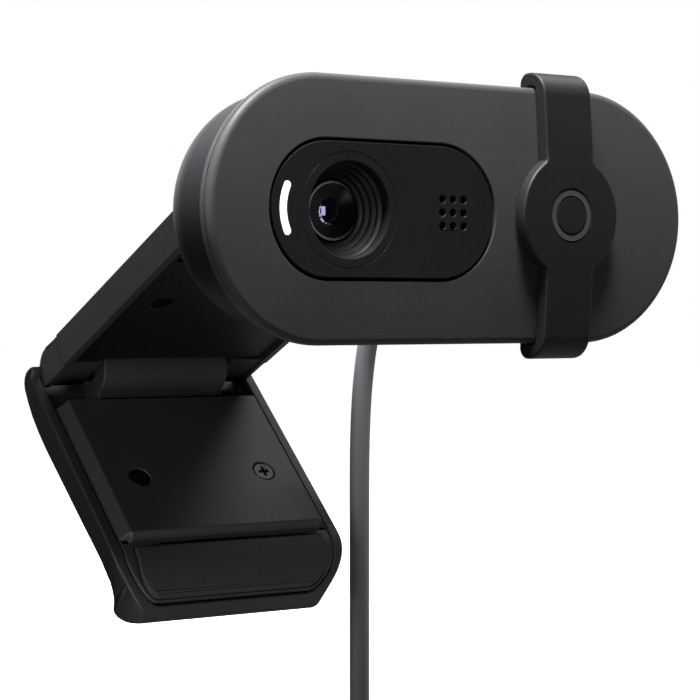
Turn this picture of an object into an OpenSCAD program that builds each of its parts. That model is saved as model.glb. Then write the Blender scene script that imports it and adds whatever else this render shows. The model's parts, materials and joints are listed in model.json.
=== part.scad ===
// Clip-on webcam with a sliding privacy cover, a folding monitor clip and a USB cord.
// Millimetres. +X is to the right of a person who faces the lens, -Y is the way the lens
// looks, +Z is up. The origin is the centre of the rubber pad under the clip's arm, which
// rests on the top edge of a monitor. The arm slopes down to the back by arm_slope.

/* [Head] */
// Width of the front plate
plate_w = 67.6; // [60:0.1:75]
// Height of the front plate
plate_h = 29.8; // [28:0.1:32]
// How far the front plate's top and bottom edges lie behind its middle
crown = 0.8; // [0.4:0.1:1.2]
// Depth of the head behind the middle of the front plate
head_d = 15.2; // [14.8:0.1:16]
// Radius of the rear shell's rounded edge
shell_round = 7.2; // [6.5:0.1:8]

/* [Lens panel] */
// Width of the black panel
panel_w = 30.3; // [29.5:0.1:31]
// Height of the black panel
panel_h = 14.9; // [14.5:0.1:15.4]
// Middle of the panel, left of the head's middle
panel_x = -10.76; // [-12:0.01:-9]
// Middle of the lens, left of the head's middle
lens_x = -15.65; // [-16:0.01:-15]
// Radius of the opening round the lens
recess_r = 5.35; // [5:0.05:5.6]
// Pitch of the microphone holes
mic_pitch = 1.5; // [1.3:0.1:1.7]
// Diameter of a microphone hole
mic_d = 0.9; // [0.6:0.1:1]

/* [Privacy cover] */
// Rest place of the cover, right of the head's middle
cover_x = 14.55; // [12:0.01:16]
// Width of the band
band_w = 7.1; // [6:0.1:8]
// Radius of the disc
disc_r = 7.15; // [7:0.05:7.5]
// Thickness of the band
band_t = 1.75; // [1.5:0.05:2]

/* [Clip] */
// Angle that the arm slopes down to the back
arm_slope = 26.8; // [20:0.1:30]
// Angle of the leg above the level, seen from the side
leg_angle = 43.6; // [40:0.1:50]
// Distance from the head's hinge to the elbow
arm_len = 54; // [52:0.5:56]
// Half the arm's width
arm_half = 16.2; // [16:0.1:16.4]
// Radius of the arm's round ends
ear_r = 3.1; // [3:0.05:3.2]
// Half the leg's width
leg_half = 17.8; // [17.7:0.1:18.5]
// Half the width of the two middle knuckles
knuckle_half = 9.8; // [9:0.1:9.9]
// Radius of the hinge pins
pin_r = 1; // [0.9:0.05:1]

/* [Cord] */
// Diameter of the cord
cord_d = 2.8; // [2.6:0.1:2.8]

/* [Hidden] */
$fn = 96;

play = 0.3;                 // gap between pieces of different bodies
fit = 0.04;                 // radial clearance of a knuckle on its pin
bite = 0.01;                // how far a cut runs past a face

// Places of the two hinges and of the head, from the pad's centre
pad_u = 39.5;               // pad's centre to the elbow, along the arm
pad_face = 2;               // pad's face to the hinge line, across the arm
elbow = [0, pad_u * cos(arm_slope) + pad_face * sin(arm_slope),
         pad_face * cos(arm_slope) - pad_u * sin(arm_slope)];
hinge = elbow + arm_len * [0, -cos(arm_slope), sin(arm_slope)];
hinge_back = 22.2;          // hinge line behind the front plate's middle
hinge_up = 5.35;            // and above it
face = hinge - [0, hinge_back, hinge_up];

// Head
crown_r = (pow(plate_h / 2, 2) + pow(crown, 2)) / (2 * crown);
plate_back = 1.9;           // back of the front plate
panel_gap = 0.35;           // black gap round the panel
panel_front = 0.1;          // the panel lies this far behind the plate's middle
panel_back = 1.5;
frame_back = 3;             // back of the frame behind the panel
frame_w = 61;
frame_h = 24;
shell_front = 2.15;         // the seam behind the plate
shell_inset = 1.5;          // the shell is this much smaller than the plate
wall = 1.3;
shell_r = plate_h / 2 - shell_inset;
shell_w = plate_w - 2 * shell_inset;
board_y = 11.2;             // front of the circuit board
board_t = 1;
board_screw_x = 22.5;
board_screw_z = -5;
hood_back = 4.2;
hood_steps = 4;
barrel_r = 3.4;
barrel_front = 3.5;
led_x = -18.42;             // centre of the light's arc
led_r = 5.95;
led_half = 24.6;            // half the arc's angle
led_t = 0.84;
mic_x = -1.4;
relief_x = 22.6;            // the cord leaves the head here
relief_r = 2.1;
socket_x = 13.5;            // plug-in socket of the cord's wires
socket_z = 4.5;

// Cover
cover_gap = 0.15;           // between the cover and the front plate
band_back = 3.4;            // rear end of the hooks
hook_t = 1.7;               // thickness of the hooks above the plate
hook_lip = 0.75;            // how far they reach down behind it
hook_z = 12;                // the flat band turns into the hooks at this height
corner_r = 3;               // front corners of the hooks
tip_r = 1.3;                // rear corners
mark_r = 2.65;              // ring printed on the disc
mark_d = 0.25;
felt_r = 4.5;

// Clip, across the arm or leg (w) and along it (u), from the elbow's line
arm_top = ear_r;
rim_w = -1.6;               // lower edge of the arm's side walls
plate_w0 = -0.9;            // face of the arm's inner plate
pin_half = 14.8;
hole_half = 14.9;           // blind holes of the pins in the arm's ears
ear_in = knuckle_half + 0.5;
ear_out = 15.95;
ear_w = -1.3;               // flat lower side of the ears
washer_t = 0.3;
knuckle_r = 4.2;
leg_face = -0.83;           // face of the leg's raised plate
leg_rim = -2.4;
leg_back = -6.4;
leg_wall = 1.6;
leg_floor = 1.3;            // thickness of the leg's back
leg_top = 2.4;              // upper end of the leg's shell
seam_u = -36.55;            // lower end of the seam round the leg's inner plate
toe_u = -29.5;              // centre of the toe's curve
toe_w = -10.2;
toe_r = 8;
toe_t = 3.1;
tip_a = 169;                // angle of the toe's curve at its half-round tip
screw_x = 9.75;
screw_r = 1.45;
arm_screw_u = -21.3;
leg_screw_u = -19.6;
post_h = 2.6;               // screw posts in the leg's shell

// Cord: round points from the strain relief, and the coil
cord_path = [
    [22.6, -10.1, 8.3], [22.6, -7, 8.3], [22.6, -4, 8.1], [22.6, -1, 7.4], [22.6, 2, 6.2],
    [22.6, 5, 4.4], [22.6, 8, 1.8], [22.6, 10.6, -1.2], [22.6, 12.8, -4.6],
    [22.6, 14.6, -8.4], [22.6, 16, -12.6], [22.6, 17, -17], [22.6, 17.6, -21.6],
    [22.6, 17.9, -26.4], [22.6, 18, -32], [22.6, 18, -38], [22.6, 18, -44],
    [22.6, 18, -50], [22.6, 18, -56], [22.6, 18, -62], [22.6, 18, -68],
    [22.6, 18, -74], [22.6, 18, -79], [22.6, 18, -83]
];
tail_path = [
    [23.9, 3.2, -80.2], [25.4, 5.8, -82.2], [26.9, 7.8, -84.8], [27.9, 9, -87.8],
    [28.2, 9.5, -91], [28.2, 9.5, -93.5]
];
coil_y = -3;
coil_z = -91;
coil_mid = 16.7;            // radius at the middle of the turns
coil_w = 11.4;              // the bundle, along X and across
coil_x = 18.3;
plug_x = 28.2;
plug_y = 9.5;
plug_top = -93.5;

// ---- frames and shapes that repeat ----

module at_head() translate(face) children();
module at_arm() translate(elbow) rotate([-arm_slope, 0, 0]) children();
module at_leg() translate(elbow) rotate([leg_angle, 0, 0]) children();

// Turns a flat outline to face the lens, from y = y0 back by t
module facing(y0, t) translate([0, y0, 0]) rotate([-90, 0, 0]) linear_extrude(t) children();

// Extrudes an outline drawn in (u, w) across the clip, from x0 to x1
module across(x0, x1) translate([x0, 0, 0]) rotate([90, 0, 90]) linear_extrude(x1 - x0) children();

module both() for (s = [0, 1]) mirror([s, 0, 0]) children();

module stadium(w, h) {
    square([w - h, h], center = true);
    for (s = [-1, 1]) translate([s * (w - h) / 2, 0]) circle(h / 2);
}

module rounded(w, h, r) {
    square([w - 2 * r, h], center = true);
    square([w, h - 2 * r], center = true);
    for (x = [-1, 1], y = [-1, 1]) translate([x * (w / 2 - r), y * (h / 2 - r)]) circle(r, $fn = 48);
}

// A round bar along Y in the head
module round_y(x, z, r, y0, y1) translate([x, y0, z]) rotate([-90, 0, 0]) cylinder(r = r, h = y1 - y0);

// A round bar along X
module round_x(r, x0, x1) translate([x0, 0, 0]) rotate([0, 90, 0]) cylinder(r = r, h = x1 - x0);

// Points of an arc in a flat outline
function arc(c, r, a0, a1, n = 12) =
    [for (i = [0:n]) c + r * [cos(a0 + (a1 - a0) * i / n), sin(a0 + (a1 - a0) * i / n)]];

// Countersunk screw with a cross slot, its head's face at the origin looking along +Z
module screw(r, l) difference() {
    union() {
        translate([0, 0, -0.8]) cylinder(r = r, h = 0.8);
        translate([0, 0, -l]) cylinder(r = 0.5 * r, h = l);
    }
    for (a = [0, 90]) rotate(a) translate([0, 0, bite]) cube([1.1 * r, 0.28 * r, 0.8], center = true);
}

// The front plate's crowned face as a solid behind a surface that lies `front` before it
module crowned(front) translate([0, crown_r, 0]) rotate([0, 90, 0])
    cylinder(r = crown_r + front, h = 2 * plate_w, center = true, $fn = 720);

// Tube of n sides along a path of points, all of it in one polyhedron
function unit(v) = v / norm(v);
function heading(p, i) = unit(p[min(i + 1, len(p) - 1)] - p[max(i - 1, 0)]);
function ring(p, i, r, n) =
    let (t = heading(p, i), side = unit(cross(t, [0.2, 0.3, 1] + 3 * [1, 0, 0])), up = cross(side, t))
    [for (k = [0:n - 1]) p[i] + r * (cos(360 * k / n) * side + sin(360 * k / n) * up)];

module tube(p, r, n = 8) {
    m = len(p);
    polyhedron(
        points = [for (i = [0:m - 1]) each ring(p, i, r, n)],
        faces = concat(
            [[for (k = [0:n - 1]) k]],
            [[for (k = [0:n - 1]) m * n - 1 - k]],
            [for (i = [0:m - 2], k = [0:n - 1])
                [i * n + k, (i + 1) * n + k, (i + 1) * n + (k + 1) % n, i * n + (k + 1) % n]]
        ));
}

// ---- head ----

module front_plate() color("#48484a") at_head() difference() {
    intersection() {
        facing(-0.5, plate_back + 0.5) stadium(plate_w, plate_h);
        crowned(0);
    }
    translate([panel_x, 0, 0]) facing(-1, 5) stadium(panel_w + 2 * panel_gap, panel_h + 2 * panel_gap);
}

module light_arc(t, wide) rotate([180, 0, 0]) {
    rotate(180 - led_half) rotate_extrude(angle = 2 * led_half)
        translate([led_r - led_t / 2 - wide, 0]) square([led_t + 2 * wide, t]);
    for (s = [-1, 1]) rotate(180 + s * led_half) translate([led_r, 0, 0]) cylinder(r = led_t / 2 + wide, h = t);
}

module at_light(y) translate([led_x, y, 0]) rotate([90, 0, 0]) children();

module mic_holes(r, y0, y1)
    for (i = [-1:1], k = [-1:1]) round_y(mic_x + i * mic_pitch, k * mic_pitch, r, y0, y1);

module lens_panel() color("#202123") at_head() difference() {
    translate([panel_x, 0, 0]) facing(panel_front, panel_back - panel_front) stadium(panel_w, panel_h);
    round_y(lens_x, 0, recess_r, -1, 5);
    at_light(panel_front - 1) light_arc(4, 0.05);
    mic_holes(mic_d / 2, -1, 5);
}

// Frame behind the front plate: it backs the panel, and its posts carry the circuit board
module panel_frame() color("#161617") at_head() difference() {
    union() {
        facing(plate_back + 0.03, frame_back - plate_back) stadium(frame_w, frame_h);
        translate([panel_x, 0, 0]) facing(panel_back + 0.02, 1) stadium(panel_w + 0.5, panel_h + 0.5);
        for (s = [-1, 1]) round_y(s * board_screw_x, board_screw_z, 1.95, plate_back + 0.5, board_y - 0.02);
    }
    for (s = [-1, 1]) round_y(s * board_screw_x, board_screw_z, 0.82, frame_back + 1, board_y + 1);
    round_y(lens_x, 0, recess_r + 0.85, 0, 5);
    at_light(panel_front - 1) light_arc(6, 0.1);
    round_y(mic_x, 0, 2.9, 0, 5);
}

// Stepped rings that narrow from the panel's opening to the lens
module lens_hood() color("#141415") at_head() translate([lens_x, 0, 0]) rotate([-90, 0, 0]) rotate_extrude() {
    step_r = (recess_r - barrel_r - 0.15) / hood_steps;
    step_y = (hood_back - panel_back) / hood_steps;
    for (i = [0:hood_steps - 1])
        translate([recess_r - (i + 1) * step_r, panel_back + i * step_y])
            square([0.8 + (i + 1) * step_r, step_y]);
}

module lens_barrel() color("#2a2a2b") at_head() translate([lens_x, 0, 0]) rotate([-90, 0, 0]) rotate_extrude()
    polygon([[1.5, barrel_front + 0.6], [barrel_r - 0.35, barrel_front], [barrel_r, barrel_front],
             [barrel_r, 9.6], [2.2, 9.6], [2.2, 5.3], [1.5, 5.3]]);

module front_lens() color("#5b6fae") at_head() translate([lens_x, 0, 0]) rotate([-90, 0, 0]) intersection() {
    translate([0, 0, 3.8]) cylinder(r = 1.45, h = 1.4);
    translate([0, 0, 7.05]) sphere(3.1);
}

module rear_lens() color("#8fa0c8") at_head() round_y(lens_x, 0, 2.1, 6.4, 7.8);

module lens_holder() color("#1a1a1a") at_head() difference() {
    translate([lens_x, 0, 0]) facing(7.4, board_y - 7.4) rounded(9.6, 9.6, 1);
    round_y(lens_x, 0, barrel_r + 0.05, 7, 9.65);
    translate([lens_x, 0, 0]) facing(9.6, 2) square([7.7, 7.7], center = true);
}

module ir_filter() color("#9fc3b8") at_head() translate([lens_x, 0, 0]) facing(9.62, 0.3) square([7.6, 7.6], center = true);

module image_sensor() color("#3c4a46") at_head() translate([lens_x, 0, 0]) facing(board_y - 0.9, 0.9) square([7, 6.5], center = true);

module main_board() color("#12603c") at_head() difference() {
    facing(board_y, board_t) rounded(52, 16.5, 3);
    for (s = [-1, 1]) round_y(s * board_screw_x, board_screw_z, 0.9, 10, 14);
}

module board_chips() color("#151515") at_head() {
    for (c = [[-3, 1, 8, 8], [7.5, 3, 5, 4], [7.5, -4.5, 4, 3], [-13, -3, 3, 2], [-20, 4, 2.5, 3]])
        translate([c[0], 0, c[1]]) facing(board_y + board_t, 0.9) square([c[2], c[3]], center = true);
}

module microphone() color("#b9b48e") at_head() translate([mic_x, 0, 0]) facing(board_y - 1, 1) square([3.8, 3], center = true);

module mic_mesh() color("#2b2b2b") at_head() round_y(mic_x, 0, 2.8, panel_back + 0.02, panel_back + 0.3);

module led_chip() color("#f2efc9") at_head() translate([led_x - led_r, 0, 0]) facing(board_y - 0.7, 0.7) square([1.6, 3], center = true);

module light_pipe() color("white") at_head() at_light(panel_front) light_arc(board_y - 1 - panel_front, 0);

// Outline of the rear shell's wall as a radius against the depth, for its round ends and straight middle
module shell_outline(inset, y0) {
    r = shell_r - inset;
    round_r = shell_round - inset;
    depth = head_d - inset;
    polygon(concat([[0, y0], [r, y0]], arc([r - round_r, depth - round_r], round_r, 0, 90, 24), [[0, depth]]));
}

module shell_body(inset, y0) {
    for (s = [-1, 1]) translate([s * (shell_w / 2 - shell_r), 0, 0]) rotate([-90, 0, 0])
        rotate_extrude() shell_outline(inset, y0);
    for (m = [0, 1]) mirror([0, 0, m]) translate([-(shell_w / 2 - shell_r), 0, 0]) rotate([90, 0, 90])
        linear_extrude(shell_w - 2 * shell_r) mirror([1, -1, 0]) shell_outline(inset, y0);
}

module rear_shell() color("#26262a") at_head() difference() {
    shell_body(0, shell_front);
    shell_body(wall, shell_front - 1);
    round_y(relief_x, hinge_up, relief_r, 10, 20);
    for (s = [-1, 1]) round_y(s * 7.2, 0, 0.75, 12, 16);
}

module board_screws() color("#8d8d90") at_head()
    for (s = [-1, 1]) translate([s * board_screw_x, board_y + board_t + 0.8, board_screw_z])
        rotate([-90, 0, 0]) screw(1.6, 6);

module cable_socket() color("#e6e2d6") at_head() translate([socket_x, 0, socket_z])
    facing(board_y + board_t + 0.01, 1.4) square([6, 4.6], center = true);

module inner_wires() color("#9a3030") at_head()
    for (k = [-1.5:1.5]) translate([0, board_y + board_t + 0.7, socket_z + k * 1.05])
        round_x(0.4, socket_x + 3.02, relief_x - 3);

// Rubber sleeve whose round tip is centred on the hinge's line, so it turns in place as the head tilts
module strain_relief() color("#1b1b1c") at_head() {
    round_y(relief_x, hinge_up, 2.5, board_y + board_t + 0.05, board_y + board_t + 0.45);
    round_y(relief_x, hinge_up, relief_r - 0.02, board_y + board_t + 0.4, 17.6);
    translate([relief_x, 17.6, hinge_up]) rotate([-90, 0, 0])
        cylinder(r1 = relief_r - 0.02, r2 = 1.9, h = hinge_back - 17.6);
    translate([relief_x, hinge_back, hinge_up]) sphere(1.9, $fn = 64);
}

module head_bracket() color("#1d1d20") at_head() difference() {
    union() {
        facing(head_d, 1.6) rounded(2 * knuckle_half, 9, 1.5);
        across(-knuckle_half + 2, knuckle_half - 2)
            polygon([[head_d + 1, -4.2], [head_d + 3, -3.6], [hinge_back + 1, hinge_up - 3.1],
                     [hinge_back - 0.5, hinge_up + 3.2], [head_d + 3, 4.4], [head_d + 1, 4.4]]);
        translate([0, hinge_back, hinge_up]) round_x(ear_r, -knuckle_half, knuckle_half);
    }
    translate([0, hinge_back, hinge_up]) round_x(pin_r + fit, -20, 20);
    for (s = [-1, 1]) round_y(s * 7.2, 0, 0.8, 10, 30);
    for (s = [-1, 1]) round_y(s * 7.2, 0, 1.75, head_d + 0.8, head_d + 3);
}

module bracket_screws() color("#77777a") at_head()
    for (s = [-1, 1]) translate([s * 7.2, head_d + 1.6, 0]) rotate([-90, 0, 0]) screw(1.5, 3.2);

// ---- privacy cover ----

// Depth of a surface that lies `front` before the crowned face, at height z
function crown_y(z, front) = crown_r - sqrt(pow(crown_r + front, 2) - z * z);

// Side outline of the upper hook, which wraps round the plate's edge and behind it
module hook_outline() {
    front = cover_gap + band_t;
    inner = plate_h / 2 + cover_gap;
    outer = inner + hook_t;
    polygon(concat(
        [[crown_y(hook_z, front), hook_z]],
        arc([crown_y(outer - corner_r, front) + corner_r, outer - corner_r], corner_r, 180, 90),
        arc([band_back - tip_r, outer - tip_r], tip_r, 90, 0),
        arc([band_back - 0.4, inner - hook_lip + 0.4], 0.4, 0, -90, 4),
        [[plate_back + cover_gap, inner - hook_lip], [plate_back + cover_gap, inner],
         [crown_y(inner, cover_gap), inner], [crown_y(hook_z, cover_gap), hook_z]]));
}

module privacy_cover() color("#1e1f21") at_head() difference() {
    union() {
        difference() {
            intersection() {
                translate([cover_x, 0, 0]) facing(-4, 6) {
                    circle(disc_r);
                    square([band_w, 2 * hook_z], center = true);
                }
                crowned(cover_gap + band_t);
            }
            crowned(cover_gap);
        }
        for (m = [0, 1]) mirror([0, 0, m]) across(cover_x - band_w / 2, cover_x + band_w / 2) hook_outline();
    }
    translate([cover_x, 0, 0]) facing(-3, 3 - cover_gap - band_t + mark_d) difference() {
        circle(mark_r + 0.35);
        circle(mark_r - 0.35);
    }
    round_y(cover_x, 0, felt_r + 0.1, -cover_gap - 0.45, 1);
}

// Plain printed ring on the disc
module cover_mark() color("#5a5b5c") at_head() translate([cover_x, 0, 0])
    facing(-cover_gap - band_t + 0.02, mark_d - 0.03) difference() {
        circle(mark_r + 0.33);
        circle(mark_r - 0.33);
    }

module cover_felt() color("#0e0e0e") at_head() round_y(cover_x, 0, felt_r, -cover_gap - 0.43, -0.06);

// ---- arm ----

module slab(w0, w1, u0, u1) translate([u0, w0]) square([u1 - u0, w1 - w0]);

// Side outline of the arm: straight between two ends that are round on top
module arm_outline() intersection() {
    union() {
        slab(rim_w, arm_top, -arm_len, 0);
        circle(ear_r);
        translate([-arm_len, 0]) circle(ear_r);
    }
    slab(rim_w, arm_top + 1, -arm_len - 9, 9);
}

module knuckle_room(u) translate([0, u, 0]) round_x(knuckle_r + play, -ear_in, ear_in);

module arm_shell() color("#232327") at_arm() difference() {
    union() {
        across(-ear_out, ear_out) arm_outline();
        across(-arm_half, arm_half) slab(rim_w, arm_top, -arm_len + 4, -4);
        across(-13, 13) slab(-5, rim_w + 1, -50.8, -48.2);
    }
    difference() {
        across(-15.1, 15.1) slab(rim_w - 1, 1.9, -47, -4.58);
        for (s = [-1, 1]) translate([s * screw_x, arm_screw_u, plate_w0 + 1.45]) cylinder(r = 1.8, h = 3);
    }
    for (s = [-1, 1]) translate([s * screw_x, arm_screw_u, 0]) cylinder(r = screw_r / 2 + 0.02, h = 2);
    for (u = [-arm_len - 9, -4.6]) across(-15.1, 15.1) slab(rim_w - 1, ear_w, u, u + 13.6);
    knuckle_room(0);
    across(-ear_in, ear_in) slab(-9, 9, -4.6, 9);
    knuckle_room(-arm_len);
    across(-ear_in, ear_in) slab(-2.4, 9, -arm_len - 9, -arm_len + 4.6);
    across(-ear_in, ear_in) slab(-9, 9, -arm_len - 9, -arm_len + 1);
    for (u = [-arm_len, 0]) translate([0, u, 0]) round_x(pin_r, -hole_half, hole_half);
}

module arm_plate() color("#1b1b1c") at_arm() difference() {
    across(-15, 15) slab(plate_w0, plate_w0 + 1.4, -46.9, -4.65);
    across(-13.6, 13.6) slab(-3, plate_w0 + 0.6, -46.3, -32.7);
    for (s = [-1, 1]) translate([s * screw_x, arm_screw_u, 0]) {
        translate([0, 0, -3]) cylinder(r = screw_r + 0.12, h = 3 + plate_w0 + 0.95);
        translate([0, 0, -3]) cylinder(r = screw_r / 2 + 0.1, h = 6);
    }
    across(-ear_in, ear_in) circle(knuckle_r + play);
}

module arm_pad() color("#111112") at_arm() translate([0, -pad_u, -pad_face])
    linear_extrude(pad_face + plate_w0 + 0.58) rounded(27, 13.4, 2);

module arm_screws() color("#3a3a3c") at_arm() for (s = [-1, 1])
    translate([s * screw_x, arm_screw_u, plate_w0 + 0.1]) rotate([180, 0, 0]) screw(screw_r, 2.6);

module lip_pad() color("#111112") at_arm() across(-12.5, 12.5) slab(-4.8, rim_w - 0.05, -48.18, -47.4);

module pin() round_x(pin_r, -pin_half, pin_half);

module washers() both() difference() {
    round_x(1.8, knuckle_half + 0.1, knuckle_half + 0.1 + washer_t);
    round_x(pin_r + fit, 0, 20);
}

module head_pin() color("#a9a9ac") translate(hinge) pin();
module head_washers() color("#3c3c3e") translate(hinge) washers();
module elbow_pin() color("#a9a9ac") translate(elbow) pin();
module elbow_washers() color("#3c3c3e") translate(elbow) washers();

// ---- leg ----

// Side outline of the leg's shell: round upper end, long flat back, and a toe that curves
// away from the front and ends in a half round
module leg_outline() {
    mid_r = toe_r - 0.2 - (toe_t - 0.2) / 2;
    tip = [toe_u, toe_w] + mid_r * [cos(tip_a), sin(tip_a)];
    polygon(concat(
        [[0.7, leg_rim], [toe_u, leg_rim]],
        arc([toe_u, toe_w], toe_r - 0.2, 90, tip_a, 20),
        arc(tip, (toe_t - 0.2) / 2, tip_a + 10, tip_a + 170, 10),
        arc([toe_u, toe_w], toe_r - toe_t, tip_a, 126, 8),
        [[-31.2, -5.85], [-29.8, -5.7], [-27.5, -5.75], [-23, -5.95], [-16, -6.2],
         [-9, leg_back], [-6, -6.32], [-3.2, -6.05], [-1, -5.55], [0.9, -4.95],
         [1.6, -4.5], [2.1, -3.8], [2.3, -2.9], [2.05, -1.9], [1.65, -1.2], [1.3, -1.1], [0.95, -1.6]]));
}

// The leg seen from the front: square top, round toe corners
module leg_plan(half, u0, u1, r) {
    translate([-half, u0 + r]) square([2 * half, u1 - u0 - r]);
    translate([-half + r, u0]) square([2 * (half - r), r + 1]);
    for (s = [-1, 1]) translate([s * (half - r), u0 + r]) circle(r);
}

module leg_shell() color("#232327") at_leg() difference() {
    intersection() {
        across(-leg_half, leg_half) leg_outline();
        translate([0, 0, -20]) linear_extrude(25) leg_plan(leg_half, toe_u - toe_r, leg_top, 7);
    }
    difference() {
        intersection() {
            across(-leg_half, leg_half) union() {
                slab(leg_back + leg_floor, 2, toe_u - 1, -1);
                polygon(concat([[toe_u + 1, 1], [toe_u, 1]],
                    arc([toe_u, toe_w], toe_r + 2, 90, 157, 14),
                    arc([toe_u, toe_w], toe_r - toe_t + 1.1, 157, 100, 12),
                    [[toe_u + 1, leg_back + leg_floor]]));
            }
            translate([0, 0, -20]) linear_extrude(25)
                leg_plan(leg_half - leg_wall, seam_u, -1, 5.2);
        }
        for (s = [-1, 1]) translate([s * screw_x, leg_screw_u, leg_back]) cylinder(r = 1.8, h = post_h);
    }
    for (s = [-1, 1]) translate([s * screw_x, leg_screw_u, -5.2]) cylinder(r = screw_r / 2 + 0.02, h = 3);
    across(-leg_half + leg_wall, leg_half - leg_wall) slab(-4.4, 2, -8, leg_top + 1);
}

// Raised plate with the knuckle, screwed into the shell
module leg_plate() color("#1d1d1f") at_leg() difference() {
    union() {
        across(-14.8, 14.8) slab(leg_rim, leg_face, -28.9, -5.1);
        both() translate([14.8, 0, 0]) rotate([90, 0, 0]) translate([0, 0, 5.1]) linear_extrude(23.8)
            polygon([[0, leg_rim], [1.2, leg_rim], [0, leg_face]]);
        across(-14.8, 14.8) polygon([[-28.9, leg_rim], [-28.9, leg_face], [-29.4, leg_rim]]);
        intersection() {
            across(-16.3, 16.3) polygon(concat(
                [[-5.1, leg_rim], [toe_u, leg_rim]],
                arc([toe_u, toe_w], toe_r - 0.2, 90, 153, 16),
                arc([toe_u, toe_w], toe_r - 1.6, 150, 90, 14),
                [[-5.1, leg_rim - 1.2]]));
            translate([0, 0, -20]) linear_extrude(25)
                leg_plan(leg_half - leg_wall - 0.15, seam_u + 0.15, -5.1, 5);
        }
        across(-knuckle_half, knuckle_half) {
            circle(knuckle_r);
            slab(-4.2, leg_face - 0.1, -7, -0.5);
        }
    }
    round_x(pin_r + fit, -20, 20);
    intersection() {
        across(-14.8, 14.8) polygon(concat(
            arc([toe_u, toe_w], toe_r + 2, 86, 152, 16),
            arc([toe_u, toe_w], toe_r - 0.8, 152, 86, 16)));
        translate([0, 0, -20]) linear_extrude(25) leg_plan(14.55, -36.15, toe_u - 0.7, 3.1);
    }
    for (s = [-1, 1]) translate([s * screw_x, leg_screw_u, 0]) {
        translate([0, 0, leg_face - 0.95]) cylinder(r = screw_r + 0.12, h = 5);
        translate([0, 0, -6]) cylinder(r = screw_r / 2 + 0.1, h = 9);
    }
}

module leg_pad() color("#101011") at_leg() intersection() {
    across(-14.5, 14.5) polygon(concat(
        arc([toe_u, toe_w], toe_r + 0.15, 93, 150, 16),
        arc([toe_u, toe_w], toe_r - 0.75, 150, 93, 16)));
    translate([0, 0, -20]) linear_extrude(25) leg_plan(14.45, -36.05, toe_u - 0.8, 3);
}

module leg_screws() color("#3a3a3c") at_leg() for (s = [-1, 1])
    translate([s * screw_x, leg_screw_u, leg_face - 0.1]) screw(screw_r, 4.1);

// ---- cord ----

module cord_tube() color("#4a4a4c") tube(cord_path, cord_d / 2);

module cord_tail() color("#4a4a4c") tube(tail_path, cord_d / 2);

module cord_coil() color("#4a4a4c") translate([coil_x, coil_y, coil_z]) rotate([0, 90, 0]) rotate_extrude()
    translate([coil_mid, 0]) rounded(coil_w, coil_w, 1.4);

// Strap round the bundle at the coil's front
module cord_tie() color("#161616") translate([coil_x, coil_y - coil_mid, coil_z]) difference() {
    cube([coil_w + 2, coil_w + 2.6, 4], center = true);
    cube([coil_w + 0.3, coil_w + 1, 5], center = true);
}

module plug_grip() color("#1a1a1b") translate([plug_x, plug_y, plug_top - 3]) rotate([180, 0, 0]) difference() {
    union() {
        linear_extrude(20) rounded(7.6, 15.6, 1.6);
        translate([0, 0, -3]) cylinder(r1 = 1.7, r2 = 2.5, h = 3.1);
    }
    translate([0, 0, 14]) linear_extrude(7) square([4.6, 12.1], center = true);
}

module plug_shell() color("#c8c8cc") translate([plug_x, plug_y, plug_top - 17]) rotate([180, 0, 0]) difference() {
    linear_extrude(18) square([4.5, 12], center = true);
    translate([0, 0, 1]) linear_extrude(18) square([3.9, 11.4], center = true);
    for (s = [-1, 1]) translate([0, s * 2.8, 12]) cube([9, 2.2, 2.2], center = true);
}

module plug_tongue() color("#e9e9ea") translate([plug_x + 0.9, plug_y, plug_top - 18]) rotate([180, 0, 0])
    linear_extrude(16) square([1.9, 11.2], center = true);

module plug_contacts() color("#d9b24c") for (k = [-1.5:1.5])
    translate([plug_x - 0.13, plug_y + 2.4 * k, plug_top - 28]) cube([0.14, 1, 9], center = true);

front_plate();
lens_panel();
lens_hood();
lens_barrel();
front_lens();
rear_lens();
lens_holder();
ir_filter();
image_sensor();
main_board();
board_chips();
microphone();
mic_mesh();
led_chip();
light_pipe();
panel_frame();
rear_shell();
board_screws();
cable_socket();
inner_wires();
strain_relief();
head_bracket();
bracket_screws();
privacy_cover();
cover_mark();
cover_felt();
arm_shell();
arm_plate();
arm_pad();
arm_screws();
lip_pad();
head_pin();
head_washers();
elbow_pin();
elbow_washers();
leg_shell();
leg_plate();
leg_pad();
leg_screws();
cord_tube();
cord_coil();
cord_tie();
cord_tail();
plug_grip();
plug_shell();
plug_tongue();
plug_contacts();
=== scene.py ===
import json
import math

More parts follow.
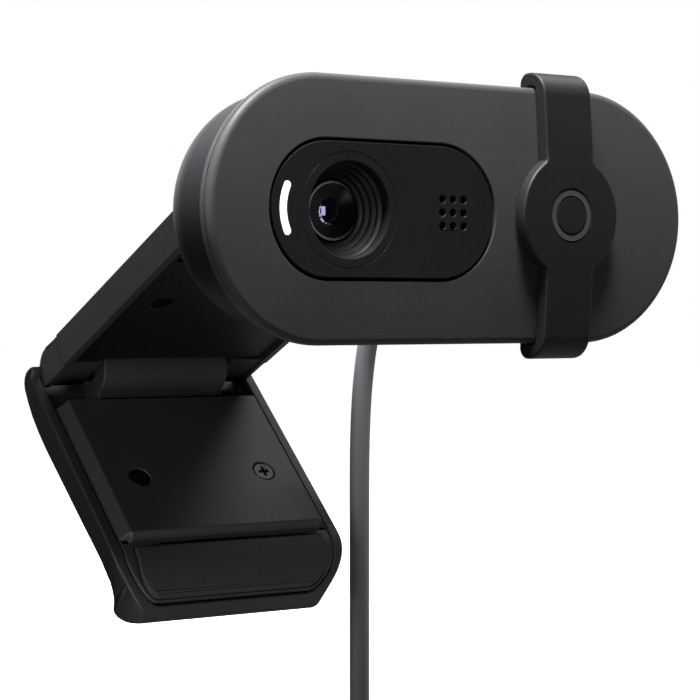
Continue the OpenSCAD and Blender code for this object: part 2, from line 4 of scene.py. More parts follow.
import bpy
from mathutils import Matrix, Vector


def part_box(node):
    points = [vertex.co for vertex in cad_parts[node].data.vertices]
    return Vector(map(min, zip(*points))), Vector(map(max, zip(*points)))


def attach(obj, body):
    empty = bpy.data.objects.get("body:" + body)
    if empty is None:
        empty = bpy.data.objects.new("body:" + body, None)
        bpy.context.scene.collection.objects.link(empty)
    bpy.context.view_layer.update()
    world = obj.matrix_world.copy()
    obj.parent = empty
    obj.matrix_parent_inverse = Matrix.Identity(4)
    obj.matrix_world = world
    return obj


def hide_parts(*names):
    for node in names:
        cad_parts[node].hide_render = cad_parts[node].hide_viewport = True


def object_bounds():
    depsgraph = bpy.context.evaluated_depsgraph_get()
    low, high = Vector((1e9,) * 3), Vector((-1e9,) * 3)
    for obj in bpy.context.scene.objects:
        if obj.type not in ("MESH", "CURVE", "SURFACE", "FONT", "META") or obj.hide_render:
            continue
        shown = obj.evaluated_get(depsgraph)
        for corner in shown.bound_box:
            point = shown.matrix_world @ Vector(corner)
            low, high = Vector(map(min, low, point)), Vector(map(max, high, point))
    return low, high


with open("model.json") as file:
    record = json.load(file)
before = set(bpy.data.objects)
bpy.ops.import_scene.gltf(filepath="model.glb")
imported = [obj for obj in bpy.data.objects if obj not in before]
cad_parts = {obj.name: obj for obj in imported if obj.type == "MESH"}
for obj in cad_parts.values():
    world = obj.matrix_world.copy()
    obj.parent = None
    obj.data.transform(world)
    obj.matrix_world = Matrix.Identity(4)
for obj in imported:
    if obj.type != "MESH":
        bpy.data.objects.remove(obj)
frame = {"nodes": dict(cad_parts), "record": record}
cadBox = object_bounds()
mm = 0.001
hair = 0.001 * mm           # nearer than this counts as touching
scene = bpy.context.scene
record = frame["record"]
joints = {joint["name"]: joint for joint in record["behaviour"]["joints"]}
bodyOf = {node: body for body, nodes in record["behaviour"]["bodies"].items() for node in nodes}
slotOf = {part["node"]: part["material_slot"] for part in record["subparts"]}
standIns = {}               # node to the piece shown in its place


def boxOf(node):
    low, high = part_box(node)
    return Vector(low), Vector(high)


plateLow, plateHigh = boxOf("front_plate")
faceCentre = Vector(((plateLow.x + plateHigh.x) / 2, plateLow.y, (plateLow.z + plateHigh.z) / 2))
barrelLow, barrelHigh = boxOf("lens_barrel")
lensCentre = Vector(((barrelLow.x + barrelHigh.x) / 2, faceCentre.y, (barrelLow.z + barrelHigh.z) / 2))
elbow = Vector(joints["leg_fold"]["pos_m"])
armDown = Vector(record["mounts"][0]["axis"])       # square to the arm, out of its pad

cameraValues = {
    "fromFace": Vector((-155.5, -198.7, -10.8)) * mm,
    "turn": 35.12,          # degrees to the side of straight on
    "tilt": -1.08,          # degrees, downwards
    "lens": 114,
    "sensor": 36,
    "clip": (0.01, 50),
}


def placeCamera(v):
    bpy.ops.object.camera_add(location=faceCentre + v["fromFace"],
                              rotation=(math.radians(90 + v["tilt"]), 0, math.radians(-v["turn"])))
    camera = bpy.context.object
    camera.data.lens = v["lens"]
    camera.data.sensor_width = v["sensor"]
    camera.data.clip_start, camera.data.clip_end = v["clip"]
    scene.camera = camera


placeCamera(cameraValues)
print("camera set")


def startFresh():
    if bpy.context.object and bpy.context.object.mode != "OBJECT":
        backToObject()
    bpy.ops.object.select_all(action="DESELECT")


def backToObject():
    bpy.ops.object.mode_set(mode="OBJECT")


def makeActive(piece):
    startFresh()
    piece.select_set(True)
    bpy.context.view_layer.objects.active = piece


def placeInMesh(piece):
    makeActive(piece)
    bpy.ops.object.transform_apply(location=True, rotation=True, scale=True)


def editAll(piece):
    makeActive(piece)
    bpy.ops.object.mode_set(mode="EDIT")
    bpy.ops.mesh.select_all(action="SELECT")


def pick(piece, kind, test):
    # leaves the piece in edit mode with only what passes the test selected
    makeActive(piece)
    bpy.ops.object.mode_set(mode="EDIT")
    bpy.ops.mesh.select_mode(type=kind)
    bpy.ops.mesh.select_all(action="DESELECT")
    backToObject()
    mesh = piece.data
    if kind == "VERT":
        for vertex in mesh.vertices:
            vertex.select = test(vertex.co)
    elif kind == "EDGE":
        for edge in mesh.edges:
            edge.select = test(*(mesh.vertices[i].co for i in edge.vertices))
    else:
        for face in mesh.polygons:
            face.select = test(face.center, face.normal)
    bpy.ops.object.mode_set(mode="EDIT")


def useModifier(piece, kind, **settings):
    makeActive(piece)
    modifier = piece.modifiers.new(kind.lower(), kind)
    for key, value in settings.items():
        setattr(modifier, key, value)
    bpy.ops.object.modifier_apply(modifier=modifier.name)


def smooth(piece, angle=34):
    # flat faces stay flat, and the small rounds between them carry the turn of the light
    makeActive(piece)
    bpy.ops.object.shade_smooth_by_angle(angle=math.radians(angle))
    useModifier(piece, "WEIGHTED_NORMAL", keep_sharp=True, weight=80)


def extent(piece, side):
    return [side(vertex.co[i] for vertex in piece.data.vertices) for i in range(3)]


def softEdges(piece, width, segments=3):
    # rounds the sharp edges, and holds the result inside the piece's own box
    low, high = extent(piece, min), extent(piece, max)
    useModifier(piece, "BEVEL", width=width, segments=segments, limit_method="ANGLE",
                angle_limit=math.radians(30), use_clamp_overlap=False, miter_outer="MITER_ARC")
    for vertex in piece.data.vertices:
        vertex.co = Vector([min(max(value, a), b) for value, a, b in zip(vertex.co, low, high)])
    smooth(piece)


def cut(piece, cutter):
    useModifier(piece, "BOOLEAN", object=cutter, operation="DIFFERENCE", solver="EXACT")
    bpy.data.objects.remove(cutter)


def workCopy(node, name):
    # a merged copy of a CAD node, ready to have its edges worked
    piece = bpy.data.objects.new(name, frame["nodes"][node].data.copy())
    scene.collection.objects.link(piece)
    piece.data.materials.clear()
    editAll(piece)
    bpy.ops.mesh.remove_doubles(threshold=3 * hair)
    bpy.ops.mesh.dissolve_limited(angle_limit=math.radians(0.6))
    backToObject()
    return piece


def stadiumBlock(name, low, high, sides=128):
    # a cylinder along Y, pulled apart at its middle
    centre = (low + high) / 2
    radius = (high.z - low.z) / 2
    stretch = (high.x - low.x) / 2 - radius
    startFresh()
    bpy.ops.mesh.primitive_cylinder_add(vertices=sides, radius=radius, depth=high.y - low.y,
                                        location=centre, rotation=(math.pi / 2, math.pi / sides, 0))
    piece = bpy.context.object
    piece.name = name
    placeInMesh(piece)
    for side in (-1, 1):
        pick(piece, "VERT", lambda p: (p.x - centre.x) * side > 0)
        bpy.ops.transform.translate(value=(side * stretch, 0, 0))
    backToObject()
    return piece


def turned(name, profile, sides=96):
    # a ring round the lens axis, drawn out and scaled through (radius, depth) and back to its start
    startFresh()
    radius, depth = profile[0]
    bpy.ops.mesh.primitive_circle_add(vertices=sides, radius=radius * mm, fill_type="NOTHING",
                                      location=lensCentre + Vector((0, depth * mm, 0)),
                                      rotation=(math.pi / 2, 0, 0))
    piece = bpy.context.object
    piece.name = name
    placeInMesh(piece)
    editAll(piece)
    for nextRadius, nextDepth in profile[1:] + profile[:1]:
        step = (nextDepth - depth) * mm
        bpy.ops.mesh.extrude_edges_move(TRANSFORM_OT_translate={"value": (0, step, 0)})
        scale = nextRadius / radius
        bpy.ops.transform.resize(value=(scale, 1, scale),
                                 center_override=lensCentre + Vector((0, nextDepth * mm, 0)))
        radius, depth = nextRadius, nextDepth
    bpy.ops.mesh.select_all(action="SELECT")
    bpy.ops.mesh.remove_doubles(threshold=hair)
    bpy.ops.mesh.normals_make_consistent(inside=False)
    backToObject()
    smooth(piece)
    return piece


def standFor(piece, node, *more):
    # the piece is shown in place of its CAD node, and moves with the same body
    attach(piece, bodyOf[node])
    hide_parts(node, *more)
    standIns[node] = piece


cordValues = {
    "diameter": 2.8 * mm,
    "length": 1.5,
    # from the strain relief down to the coil, in millimetres
    "route": [
        (22.6, -10.1, 8.3), (22.6, -7, 8.3), (22.6, -4, 8.1), (22.6, -1, 7.4), (22.6, 2, 6.2),
        (22.6, 5, 4.4), (22.6, 8, 1.8), (22.6, 10.6, -1.2), (22.6, 12.8, -4.6),
        (22.6, 14.6, -8.4), (22.6, 16, -12.6), (22.6, 17, -17), (22.6, 17.6, -21.6),
        (22.6, 17.9, -26.4), (22.6, 18, -32), (22.6, 18, -38), (22.6, 18, -44),
        (22.6, 18, -50), (22.6, 18, -56), (22.6, 18, -62), (22.6, 18, -68),
        (22.6, 18, -74), (22.6, 18, -79), (22.6, 18, -83),
    ],
    # from the coil to the plug
    "tail": [
        (22.9, 0.2, -79), (23.9, 3.2, -80.2), (25.4, 5.8, -82.2), (26.9, 7.8, -84.8),
        (27.9, 9, -87.8), (28.2, 9.5, -91), (28.2, 9.5, -93.5), (28.2, 9.5, -95.5),
    ],
    "coilCentre": (-3, -91),
    "outerTurn": 21,        # radius of the outer layer's turns
    "pitch": 2.85,          # from turn to turn, and from layer to layer
    "firstColumn": 22.6,
    "layers": 4,
    "turnsInLayer": 3,
    "stepTurn": 0.25,       # share of a turn in which the cord steps to the next layer
    "pointsInTurn": 24,
    "tieEdge": 0.5 * mm,
}


def coilPoints(v):
    points = []
    layerTurns = v["turnsInLayer"] + v["stepTurn"]
    total = v["layers"] * layerTurns - v["stepTurn"]
    count = round(total * v["pointsInTurn"])
    for i in range(count + 1):
        turn = total * i / count
        layer = min(int(turn / layerTurns), v["layers"] - 1)
        inLayer = turn - layer * layerTurns
        along = min(inLayer, v["turnsInLayer"]) * v["pitch"]
        width = v["turnsInLayer"] * v["pitch"]
        step = max(0, inLayer - v["turnsInLayer"]) / v["stepTurn"]
        x = v["firstColumn"] - (along if layer % 2 == 0 else width - along)
        ease = step * step * (3 - 2 * step)
        radius = v["outerTurn"] - v["pitch"] * (layer + ease)
        angle = 2 * math.pi * turn
        points.append((x, v["coilCentre"][0] + radius * math.cos(angle),
                       v["coilCentre"][1] - radius * math.sin(angle)))
    return points


def makeCord(v, points):
    startFresh()
    curve = bpy.data.curves.new("cord", "CURVE")
    curve.dimensions = "3D"
    spline = curve.splines.new("BEZIER")
    spline.bezier_points.add(len(points) - 1)
    for place, point in zip(spline.bezier_points, points):
        place.co = point
        place.handle_left_type = place.handle_right_type = "AUTO"
    curve.resolution_u = 4
    curve.bevel_depth = v["diameter"] / 2
    curve.bevel_resolution = 5
    curve.use_fill_caps = True
    piece = bpy.data.objects.new("cord", curve)
    scene.collection.objects.link(piece)
    makeActive(piece)
    bpy.ops.object.convert(target="MESH")
    bpy.ops.object.shade_smooth()
    return bpy.context.object


cordPoints = [Vector(p) * mm for p in cordValues["route"] + coilPoints(cordValues) + cordValues["tail"]]
cord = makeCord(cordValues, cordPoints)
standFor(cord, "cord_tube", "cord_coil", "cord_tail")
tie = workCopy("cord_tie", "cordTie")
softEdges(tie, cordValues["tieEdge"])
standFor(tie, "cord_tie")
plugGrip = workCopy("plug_grip", "plugGrip")
plugShell = workCopy("plug_shell", "plugShell")
standFor(plugGrip, "plug_grip")
standFor(plugShell, "plug_shell")
print("cord laid")

plateValues = {
    "crown": 0.8 * mm,      # the face's middle stands before its top and bottom edges
    "edge": 0.8 * mm,       # round outer edge
    "groove": (0.98 * mm, 0.16 * mm, 0.12 * mm),    # fine line behind it: place, width, depth
    "gap": 0.35 * mm,       # black gap round the lens panel
    "through": 5 * mm,      # how far the opening's cutter reaches past the panel
    "lip": 0.14 * mm,
    "slices": 14,
}


def fromOutline(p, low, high):
    # distance outside a stadium outline
    radius, centre = (high.z - low.z) / 2, (low + high) / 2
    past = max(0, abs(p.x - centre.x) - (high.x - low.x) / 2 + radius)
    return math.hypot(past, p.z - centre.z) - radius


def makeFrontPlate(v):
    piece = stadiumBlock("frontPlate", plateLow, plateHigh)
    front, back, height = plateLow.y, plateHigh.y, plateHigh.z - plateLow.z
    pick(piece, "EDGE", lambda a, b: max(a.y, b.y) < front + hair)
    bpy.ops.mesh.bevel(offset=v["edge"], segments=7, affect="EDGES", clamp_overlap=False)
    start, wide, deep = v["groove"]
    for depth in (start, start + wide):
        bpy.ops.mesh.select_all(action="SELECT")
        bpy.ops.mesh.bisect(plane_co=(0, front + depth, 0), plane_no=(0, 1, 0))
    pick(piece, "FACE", lambda c, n: start < c.y - front < start + wide and abs(n.y) < 0.5)
    bpy.ops.mesh.extrude_region_shrink_fatten(TRANSFORM_OT_shrink_fatten={"value": -deep})
    for i in range(1, v["slices"]):
        bpy.ops.mesh.select_all(action="SELECT")
        bpy.ops.mesh.bisect(plane_co=(0, 0, plateLow.z + height * i / v["slices"]), plane_no=(0, 0, 1))
    backToObject()
    for vertex in piece.data.vertices:      # the crown fades out towards the plate's back
        share = (back - vertex.co.y) / (back - front)
        vertex.co.y += share * v["crown"] * ((vertex.co.z - faceCentre.z) / (height / 2)) ** 2
    panelLow, panelHigh = boxOf("lens_panel")
    grow = Vector((v["gap"], v["through"], v["gap"]))
    low, high = panelLow - grow, panelHigh + grow
    cut(piece, stadiumBlock("opening", low, high))
    pick(piece, "EDGE", lambda a, b: max(a.y, b.y) < front + 0.5 * mm
         and max(abs(fromOutline(p, low, high)) for p in (a, b)) < 10 * hair)
    bpy.ops.mesh.bevel(offset=v["lip"], segments=2, affect="EDGES", clamp_overlap=False)
    backToObject()
    smooth(piece)
    return piece


standFor(makeFrontPlate(plateValues), "front_plate")

panelValues = {
    "edge": 0.09 * mm,
    "ring": 6.4 * mm,       # fine circle engraved round the lens opening
    "ringDepth": 0.06 * mm,
}


def makeLensPanel(v):
    piece = workCopy("lens_panel", "lensPanel")
    softEdges(piece, v["edge"], 2)
    startFresh()
    bpy.ops.mesh.primitive_torus_add(major_radius=v["ring"], minor_radius=v["ringDepth"],
                                     major_segments=128, minor_segments=8,
                                     location=(lensCentre.x, boxOf("lens_panel")[0].y, lensCentre.z),
                                     rotation=(math.pi / 2, 0, 0))
    ring = bpy.context.object
    placeInMesh(ring)
    cut(piece, ring)
    smooth(piece)
    return piece


standFor(makeLensPanel(panelValues), "lens_panel")

casingValues = {
    # node: (piece, width of its soft edges in millimetres, segments)
    "rear_shell": ("rearShell", 0.15, 2),
    "privacy_cover": ("privacyCover", 0.28, 3),
    "light_pipe": ("lightPipe", 0.08, 2),
    "head_bracket": ("headBracket", 0.3, 3),
}


def softCopies(values):
    for node, (name, width, segments) in values.items():
        piece = workCopy(node, name)
        softEdges(piece, width * mm, segments)
        standFor(piece, node)


softCopies(casingValues)
relief = workCopy("strain_relief", "strainRelief")
smooth(relief)
standFor(relief, "strain_relief")
print("head casings made")

lensValues = {
    # radius and depth behind the face, in millimetres
    "hood": [(6.1, 1.52), (5.3, 1.52), (5.25, 1.6), (4.93, 1.75), (4.9, 2.15), (4.84, 2.2), (4.5, 2.35),
             (4.45, 2.8), (4.39, 2.86), (4.05, 3.0), (4.0, 3.45), (3.94, 3.52), (3.6, 3.65), (3.55, 4.2),
             (6.1, 4.2)],
    "barrel": [(1.5, 5.3), (1.5, 4.2), (1.54, 4.12), (1.62, 4.1), (1.68, 4.06), (2.9, 3.64), (3.02, 3.52),
               (3.1, 3.5), (3.3, 3.5), (3.4, 3.6), (3.4, 9.6), (2.2, 9.6), (2.2, 5.3)],
}
hood = turned("lensHood", lensValues["hood"])
standFor(hood, "lens_hood")
barrel = turned("lensBarrel", lensValues["barrel"])
standFor(barrel, "lens_barrel")
frontLens = workCopy("front_lens", "frontLens")
smooth(frontLens, 50)
standFor(frontLens, "front_lens")
print("lens made")

armValues = {
    "topEdge": 1.5 * mm,    # the two long upper edges are well rounded
    "fine": 0.14 * mm,
}


def makeArmShell(v):
    piece = workCopy("arm_shell", "armShell")
    sideX = boxOf("arm_shell")[1].x

    def above(point):
        return -(point - elbow).dot(armDown)

    pick(piece, "EDGE", lambda a, b: min(abs(a.x), abs(b.x)) > sideX - 0.3 * mm
         and min(above(a), above(b)) > 1 * mm and abs(abs(a.x) - abs(b.x)) < 10 * hair)
    bpy.ops.mesh.bevel(offset=v["topEdge"], segments=6, affect="EDGES", clamp_overlap=True)
    backToObject()
    softEdges(piece, v["fine"], 2)
    return piece


standFor(makeArmShell(armValues), "arm_shell")

clipValues = {
    "arm_plate": ("armPlate", 0.12, 3),
    "arm_pad": ("armPad", 0.3, 3),
    "lip_pad": ("lipPad", 0.25, 3),
    "arm_screws": ("armScrews", 0.06, 2),
    "leg_screws": ("legScrews", 0.06, 2),
    "leg_pad": ("legPad", 0.22, 3),
    "leg_plate": ("legPlate", 0.2, 3),
    "leg_shell": ("legShell", 0.3, 3),
    "bracket_screws": ("bracketScrews", 0.06, 2),
    "elbow_pin": ("elbowPin", 0.15, 3),
    "head_pin": ("headPin", 0.15, 3),
}
softCopies(clipValues)
print("clip made")


def linear(hexColour):
    values = [int(hexColour[i:i + 2], 16) / 255 for i in (1, 3, 5)]
    return [v / 12.92 if v <= 0.04045 else ((v + 0.055) / 1.055) ** 2.4 for v in values] + [1]


def addNode(tree, kind, settings=None, links=None):
    # settings: socket or property to value; links: socket to (node, output)
    node = tree.nodes.new(kind)
    for key, value in (settings or {}).items():
        if isinstance(key, int) or key in node.inputs:
            node.inputs[key].default_value = value
        else:
            setattr(node, key, value)
    for key, (source, output) in (links or {}).items():
        tree.links.new(source.outputs[output], node.inputs[key])
    return node


def newMaterial(name):
    material = bpy.data.materials.new(name)
    material.use_nodes = True
    material.node_tree.nodes.clear()
    return material, material.node_tree


mixResult = 2               # the colour output of a mix node, whose two colours are sockets 6 and 7


def mouldedPlastic(name, dark, light, grain, depth, rough, level=0.3):
    # grain and depth of the mould's texture in millimetres; colour clouds slowly, gloss with the grain
    material, tree = newMaterial(name)
    place = addNode(tree, "ShaderNodeTexCoord")
    cloud = addNode(tree, "ShaderNodeTexNoise", {"Scale": 1 / (9 * mm), "Detail": 3.0},
                    {"Vector": (place, "Object")})
    fine = addNode(tree, "ShaderNodeTexNoise", {"Scale": 1 / (grain * mm), "Detail": 2.0, "Roughness": 0.6},
                   {"Vector": (place, "Object")})
    colour = addNode(tree, "ShaderNodeMix", {"data_type": "RGBA", 6: linear(dark), 7: linear(light)},
                     {0: (cloud, "Fac")})
    gloss = addNode(tree, "ShaderNodeMapRange", {"To Min": rough[0], "To Max": rough[1]},
                    {"Value": (fine, "Fac")})
    bump = addNode(tree, "ShaderNodeBump", {"Strength": 0.6, "Distance": depth * mm}, {"Height": (fine, "Fac")})
    shader = addNode(tree, "ShaderNodeBsdfPrincipled", {"IOR": 1.5, "Specular IOR Level": level},
                     {"Base Color": (colour, mixResult), "Roughness": (gloss, "Result"),
                      "Normal": (bump, "Normal")})
    addNode(tree, "ShaderNodeOutputMaterial", links={"Surface": (shader, "BSDF")})
    return material


def rubber(name, dark, light, grain, rough):
    # softer and deeper grain than a hard plastic, and hardly any gloss
    return mouldedPlastic(name, dark, light, grain, 0.02, rough, level=0.35)


def metal(name, dark, light, rough):
    # fine scratches along X, 0.2 mm apart, as drawing or plating leaves them
    material, tree = newMaterial(name)
    place = addNode(tree, "ShaderNodeTexCoord")
    turn = addNode(tree, "ShaderNodeMapping", {"Scale": (0.1, 1, 1)}, {"Vector": (place, "Object")})
    fine = addNode(tree, "ShaderNodeTexNoise", {"Scale": 1 / (0.2 * mm), "Detail": 3.0},
                   {"Vector": (turn, "Vector")})
    colour = addNode(tree, "ShaderNodeMix", {"data_type": "RGBA", 6: linear(dark), 7: linear(light)},
                     {0: (fine, "Fac")})
    gloss = addNode(tree, "ShaderNodeMapRange", {"To Min": rough[0], "To Max": rough[1]},
                    {"Value": (fine, "Fac")})
    bump = addNode(tree, "ShaderNodeBump", {"Strength": 0.3, "Distance": 0.004 * mm}, {"Height": (fine, "Fac")})
    shader = addNode(tree, "ShaderNodeBsdfPrincipled", {"Metallic": 1.0},
                     {"Base Color": (colour, mixResult), "Roughness": (gloss, "Result"),
                      "Normal": (bump, "Normal")})
    addNode(tree, "ShaderNodeOutputMaterial", links={"Surface": (shader, "BSDF")})
    return material


def coatedGlass(name, tint):
    # polished glass whose thin coating colours what it mirrors, over a dark barrel
    material, tree = newMaterial(name)
    place = addNode(tree, "ShaderNodeTexCoord")
    cloud = addNode(tree, "ShaderNodeTexNoise", {"Scale": 1 / (2 * mm)}, {"Vector": (place, "Object")})
    colour = addNode(tree, "ShaderNodeMix", {"data_type": "RGBA", 6: linear("#050508"), 7: linear("#0b0a16")},
                     {0: (cloud, "Fac")})
    shader = addNode(tree, "ShaderNodeBsdfPrincipled",
                     {"Roughness": 0.03, "IOR": 1.6, "Specular Tint": linear(tint), "Coat Weight": 0.6,
                      "Coat Roughness": 0.02}, {"Base Color": (colour, mixResult)})
    addNode(tree, "ShaderNodeOutputMaterial", links={"Surface": (shader, "BSDF")})
    return material


def litAcrylic(name):
    # frosted light guide, lit white from behind and a little uneven
    material, tree = newMaterial(name)
    place = addNode(tree, "ShaderNodeTexCoord")
    cloud = addNode(tree, "ShaderNodeTexNoise", {"Scale": 1 / (1.5 * mm)}, {"Vector": (place, "Object")})
    colour = addNode(tree, "ShaderNodeMix", {"data_type": "RGBA", 6: linear("#f4f7f8"), 7: linear("#ffffff")},
                     {0: (cloud, "Fac")})
    shader = addNode(tree, "ShaderNodeBsdfPrincipled", {"Roughness": 0.35, "Emission Strength": 1.6},
                     {"Base Color": (colour, mixResult), "Emission Color": (colour, mixResult)})
    addNode(tree, "ShaderNodeOutputMaterial", links={"Surface": (shader, "BSDF")})
    return material


finishes = {
    # ABS from a spark-eroded mould: a fine even grain that turns the light to a broad dull sheen
    "graphite_abs": mouldedPlastic("mouldedAbsGraphite", "#414143", "#4a4a4c", 0.3, 0.012, (0.42, 0.56)),
    # ABS from a finer mould: flatter and a little glossier than the plate round it
    "black_panel": mouldedPlastic("mouldedAbsPanel", "#1b1c1e", "#212224", 0.22, 0.008, (0.4, 0.52)),
    # black ABS, moulded: takes light only at its edges; also laid on the leg shell's sides and back as painted
    # shade
    "black_abs": mouldedPlastic("mouldedAbsBlack", "#0e0e0f", "#131314", 0.3, 0.01, (0.45, 0.6)),
    # aluminium, turned and anodised black: satin, with clear rings of light on its steps
    "black_anodised": mouldedPlastic("anodisedBarrel", "#1c1c1d", "#242425", 0.12, 0.004, (0.22, 0.32)),
    # polished lens glass with a violet coating: black, with a sharp tinted highlight
    "coated_glass": coatedGlass("coatedLensGlass", "#b9a8ff"),
    # infrared filter glass: the same, with a green tint
    "filter_glass": coatedGlass("filterGlass", "#8fd0c0"),
    # cover glass over silicon: nearly black and smooth
    "sensor": mouldedPlastic("sensorCover", "#141a18", "#1b2320", 0.3, 0.002, (0.08, 0.12)),
    # glass-fibre board under green lacquer: a glossy green, slightly uneven
    "circuit_board": mouldedPlastic("solderMask", "#0b3a22", "#0f4a2b", 0.6, 0.01, (0.25, 0.35)),
    # moulded epoxy: matt dark grey
    "chip_epoxy": mouldedPlastic("chipEpoxy", "#111112", "#18181a", 0.15, 0.01, (0.5, 0.6)),
    # gold-plated contacts: a warm, fairly bright metal
    "gold_plate": metal("goldPlate", "#b98a3c", "#d9ab58", (0.2, 0.3)),
    # woven polyester, dyed black: shows as a dull dark ground behind the microphone holes
    "mesh_cloth": rubber("microphoneCloth", "#070707", "#0c0c0c", 0.2, (0.7, 0.85)),
    # phosphor cast over the diode: pale yellow and smooth
    "led_phosphor": mouldedPlastic("ledPhosphor", "#d9cf86", "#efe7a8", 0.4, 0.004, (0.2, 0.3)),
    # acrylic light guide, frosted: glows an even white
    "light_pipe": litAcrylic("litAcrylic"),
    # ABS from a coarser mould: the blue-black of the outer shells, with a soft sheen
    "dark_shell": mouldedPlastic("mouldedAbsDark", "#1a1a1e", "#212125", 0.32, 0.016, (0.45, 0.6)),
    # ABS, moulded: neutral black on the clip's inner faces
    "clip_plate": mouldedPlastic("mouldedAbsClip", "#1d1d1e", "#232324", 0.32, 0.014, (0.46, 0.6)),
    # ABS, moulded: a dark satin that stands out from the lighter plate
    "cover_abs": mouldedPlastic("mouldedAbsCover", "#1b1c1e", "#222325", 0.3, 0.012, (0.44, 0.58)),
    # pad-printed ink: flat grey without grain
    "grey_print": mouldedPlastic("greyPrint", "#464847", "#505251", 0.2, 0.004, (0.5, 0.6)),
    # wool felt, pressed: takes in nearly all light
    "felt": rubber("woolFelt", "#0a0a0a", "#101010", 0.12, (0.9, 1.0)),
    # silicone rubber, moulded: a deep black without a hard highlight
    "pad_rubber": rubber("padRubber", "#161618", "#1b1b1d", 0.5, (0.62, 0.78)),
    # soft PVC, moulded: dull black
    "soft_pvc": rubber("softPvc", "#151516", "#1c1c1d", 0.5, (0.55, 0.7)),
    # PVC jacket, extruded: mid grey with a soft highlight along its length
    "cord_pvc": mouldedPlastic("cordPvc", "#79787c", "#838287", 0.5, 0.01, (0.42, 0.55), level=0.5),
    # nylon hook and loop strap, woven: black with no gloss
    "tie_strap": rubber("hookAndLoop", "#0e0e0e", "#191919", 0.18, (0.85, 1.0)),
    # PVC, moulded over the plug: black with a faint sheen
    "plug_pvc": rubber("plugPvc", "#161617", "#1d1d1e", 0.4, (0.5, 0.65)),
    # folded steel, nickel-plated: bright and slightly brushed
    "nickel_shell": metal("nickelPlate", "#b6b6ba", "#cfcfd3", (0.14, 0.26)),
    # nylon, moulded: a warm white
    "nylon": mouldedPlastic("nylon", "#d6d2c4", "#e4e1d6", 0.5, 0.006, (0.35, 0.5)),
    # PVC wire insulation, extruded: dark red
    "wire_pvc": mouldedPlastic("wirePvc", "#7c1f1f", "#942828", 0.5, 0.006, (0.4, 0.5)),
    # ground steel: a cool grey with a clear highlight
    "steel_pin": metal("groundSteel", "#8f8f93", "#a9a9ad", (0.2, 0.32)),
    # steel screws, zinc-plated: greyer and duller than the pins
    "zinc_screw": metal("zincPlate", "#8b8b90", "#a5a5a9", (0.3, 0.42)),
    # steel screws, blackened: dark, with a thin light edge
    "black_screw": metal("blackenedSteel", "#242426", "#313134", (0.34, 0.48)),
    # spring washers, blackened: a touch lighter than the screws
    "brass_washer": metal("blackenedWasher", "#2c2c2e", "#3a3a3c", (0.34, 0.48)),
}


def paint(piece, material):
    if not piece.material_slots:
        piece.data.materials.append(material)
    for slot in piece.material_slots:
        slot.material = material


def paintFaces(piece, material, test):
    piece.data.materials.append(material)
    for face in piece.data.polygons:
        if test(face.normal):
            face.material_index = len(piece.data.materials) - 1


for node, holder in frame["nodes"].items():
    paint(holder, finishes[slotOf[node]])
for node, piece in standIns.items():
    paint(piece, finishes[slotOf[node]])

# painted shade: the leg's shell is blacker on its sides and back, which turn away from the light, than on the
# rim that faces the monitor
legAngle = math.radians(43.6)
legFront = Vector((0, -math.sin(legAngle), math.cos(legAngle)))
paintFaces(standIns["leg_shell"], finishes["black_abs"], lambda normal: normal.dot(legFront) < 0.2)
print("materials set")

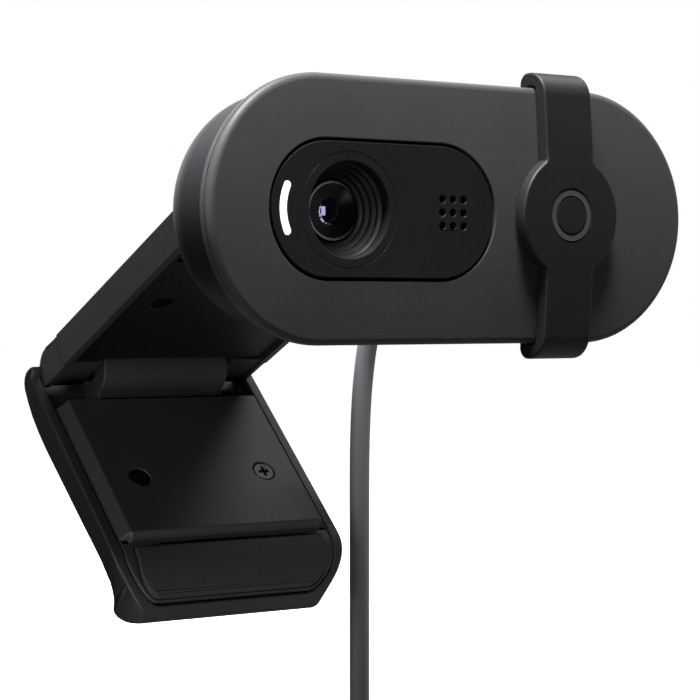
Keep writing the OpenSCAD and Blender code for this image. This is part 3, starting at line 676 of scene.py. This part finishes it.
floorValues = {
    "size": 12,
    "below": 0.002,         # under the lowest point of the object
    "colour": "#ffffff",
}
leg = [standIns[node] for node in ("leg_plate", "leg_pad", "leg_shell", "leg_screws")]
origin = (0, 0, 0)
lights = {
    # place, target, size, power, and the only pieces that it lights or, after EXCLUDE, passes by
    "overhead": ((-0.2, -0.12, 0.78), origin, (0.5, 0.22), 31, leg, "EXCLUDE"),
    "aboveRight": ((0.45, 0.02, 0.7), origin, (0.4, 0.4), 2.5),
    "sideLeft": ((-0.75, -0.06, 0.1), origin, (0.25, 0.8), 1.4),
    "stripRight": ((0.78, -0.26, 0.0), origin, (0.1, 0.5), 0.35),
    "frontLow": ((-0.18, -0.4, -0.34), origin, (0.22, 0.22), 0.25),
    "floorBounce": ((0.12, 0.06, -0.125), origin, (0.5, 0.5), 0.25),
    "behind": ((0.1, 0.8, 0.3), origin, (0.7, 0.5), 3),
    "lensCatch": ((0.02, -0.8, 0.03), lensCentre, (0.24, 0.5), 3.4, [frontLens], "INCLUDE"),
    "barrelCatch": ((0.45, -0.45, 0.05), lensCentre, (0.3, 0.5), 1.6, [barrel], "INCLUDE"),
    "hoodCatch": ((-0.5, -0.5, 0.35), lensCentre, (0.3, 0.3), 3, [hood], "INCLUDE"),
    "clipCatch": ((-0.26, -0.42, -0.55), elbow, (0.3, 0.3), 3,
                  leg + [standIns["arm_shell"], standIns["head_bracket"]], "INCLUDE"),
    "clipFill": ((-0.5, -0.5, 0.1), elbow, (0.6, 0.6), 3.5, leg, "INCLUDE"),
}


def layFloor(v):
    startFresh()
    bpy.ops.mesh.primitive_plane_add(size=v["size"], location=(0, 0, cadBox[0][2] - v["below"]))
    floor = bpy.context.object
    floor.name = "floor"
    placeInMesh(floor)
    material, tree = newMaterial("paleFloor")
    colour = linear(v["colour"])
    shader = addNode(tree, "ShaderNodeBsdfPrincipled",
                     {"Base Color": colour, "Roughness": 1.0, "Emission Color": colour,
                      "Emission Strength": 1.0})
    addNode(tree, "ShaderNodeOutputMaterial", links={"Surface": (shader, "BSDF")})
    paint(floor, material)
    # a white ground that neither lights nor shades the object
    floor.visible_diffuse = floor.visible_glossy = floor.visible_shadow = False


def softbox(name, place, target, size, power, pieces=(), kept="INCLUDE"):
    startFresh()
    bpy.ops.object.light_add(type="AREA", location=place)
    light = bpy.context.object
    light.name = name
    light.data.shape = "RECTANGLE"
    light.data.size, light.data.size_y = size
    light.data.energy = power
    light.rotation_euler = (Vector(target) - Vector(place)).to_track_quat("-Z", "Y").to_euler()
    light.visible_camera = False
    if pieces:
        group = bpy.data.collections.new(name)
        for piece in pieces:
            group.objects.link(piece)
        for member in group.collection_objects:
            member.light_linking.link_state = kept
        light.light_linking.receiver_collection = group


layFloor(floorValues)
for name, values in lights.items():
    softbox(name, *values)

world = bpy.data.worlds.new("studio")
scene.world = world
world.use_nodes = True
background = world.node_tree.nodes["Background"]
background.inputs["Color"].default_value = linear("#ffffff")
background.inputs["Strength"].default_value = 1.0
world.cycles_visibility.diffuse = False
world.cycles_visibility.glossy = False
scene.view_settings.view_transform = "Standard"
print("studio lit")
